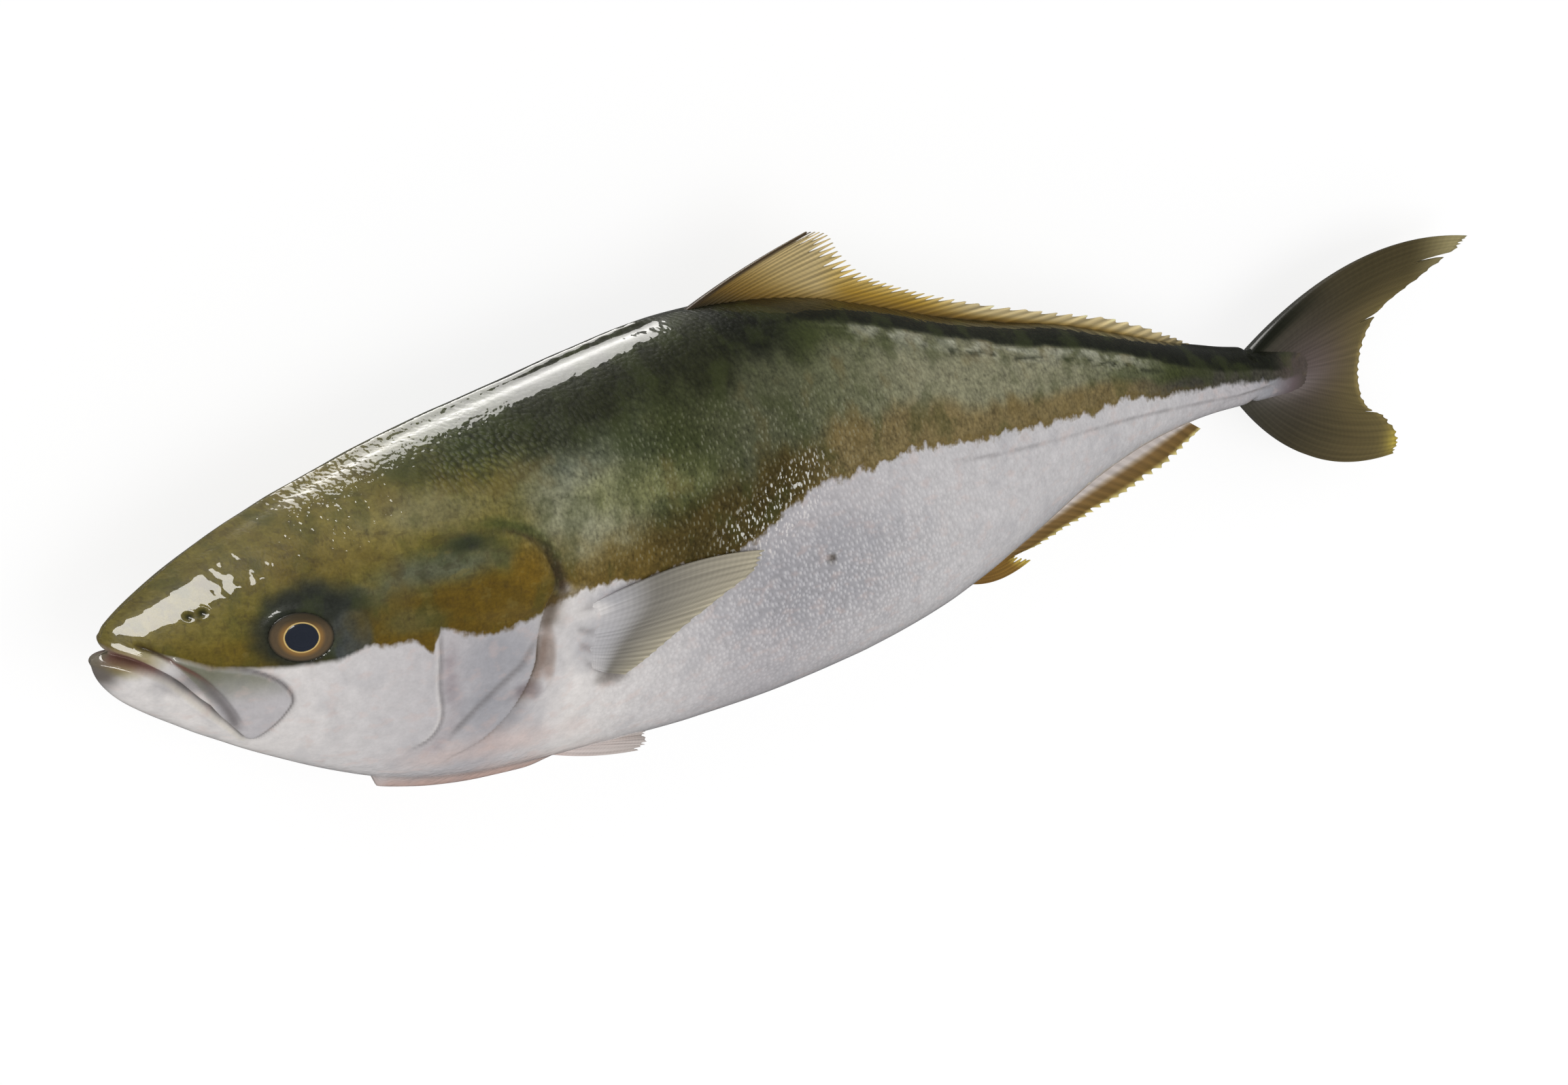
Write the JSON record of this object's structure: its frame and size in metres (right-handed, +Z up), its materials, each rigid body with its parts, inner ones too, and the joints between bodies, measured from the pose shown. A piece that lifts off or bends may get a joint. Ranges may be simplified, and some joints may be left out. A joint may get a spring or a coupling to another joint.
{
  "type": "whole yellowtail fish",
  "caption": "Whole raw yellowtail with head, fins and forked tail, lying on its right side on a small flattened patch, left side up.",
  "frame": {"origin": "on the surface the fish lies on, under the middle of its bounding box", "axes": "+X from the head to the tail, +Y from the belly to the back, +Z up, out of the left flank"},
  "size_m": [0.818, 0.236, 0.1132],
  "materials": {
    "skin": "wet scaled skin, dark olive back, brown band, silver-white belly",
    "fin": "thin rayed fin, satin, olive brown to yellow at the margins",
    "eye": "clear wet cornea over a blue-black pupil, a gold ring and a brown iris"
  },
  "bodies": {
    "root": {"fish": "skin", "eye_left": "eye", "eye_right": "eye"}
  },
  "joints": []
}
